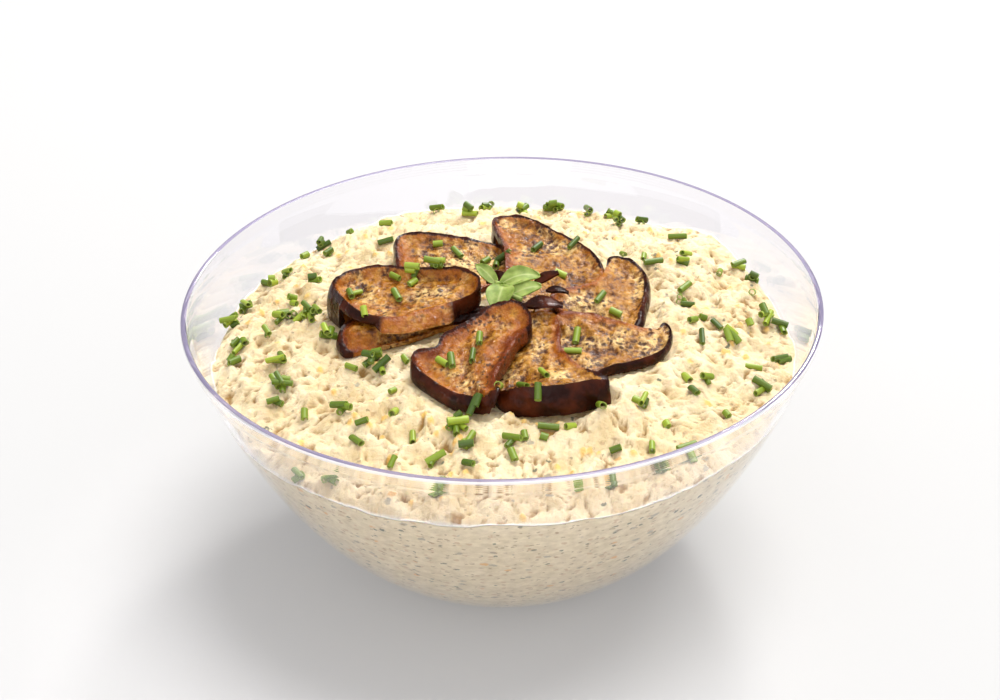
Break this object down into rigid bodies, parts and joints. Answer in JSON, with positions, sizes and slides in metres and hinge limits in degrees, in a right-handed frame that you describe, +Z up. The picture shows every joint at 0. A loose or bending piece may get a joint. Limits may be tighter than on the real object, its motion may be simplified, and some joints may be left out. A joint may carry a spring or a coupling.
{
  "type": "baba ganoush dip in a bowl",
  "caption": "Creamy aubergine dip filling a round clear plastic bowl, its rough domed top set with a pinwheel of fried aubergine slices, curls of skin, a herb sprig and chopped chives.",
  "frame": {"origin": "centre of the bowl's flat base, on the table", "axes": "+Z up; +Y from the front of the picture's view to the back; +X to the right"},
  "size_m": [0.28, 0.28, 0.1348],
  "materials": {
    "clear_plastic": "clear moulded polystyrene, polished",
    "dip_cream": "moist cream with flecks; chopped green chives lie on it",
    "fried_aubergine": "oily, golden brown flesh with dark purple-brown skin",
    "aubergine_skin": "oily dark skin",
    "herb_leaf": "fresh leaf, slightly waxy"
  },
  "bodies": {
    "root": {"bowl": "clear_plastic", "dip": "dip_cream", "aubergine_slice_back_left": "fried_aubergine", "aubergine_slice_left_under": "fried_aubergine", "aubergine_slice_left": "fried_aubergine", "aubergine_slice_back": "fried_aubergine", "aubergine_slice_right": "fried_aubergine", "aubergine_slice_front_right": "fried_aubergine", "aubergine_slice_front": "fried_aubergine", "aubergine_slice_front_left": "fried_aubergine", "skin_curl_left": "aubergine_skin", "skin_curl_back": "aubergine_skin", "skin_curl_right": "aubergine_skin", "skin_curl_front": "aubergine_skin", "herb_sprig": "herb_leaf"}
  },
  "joints": []
}
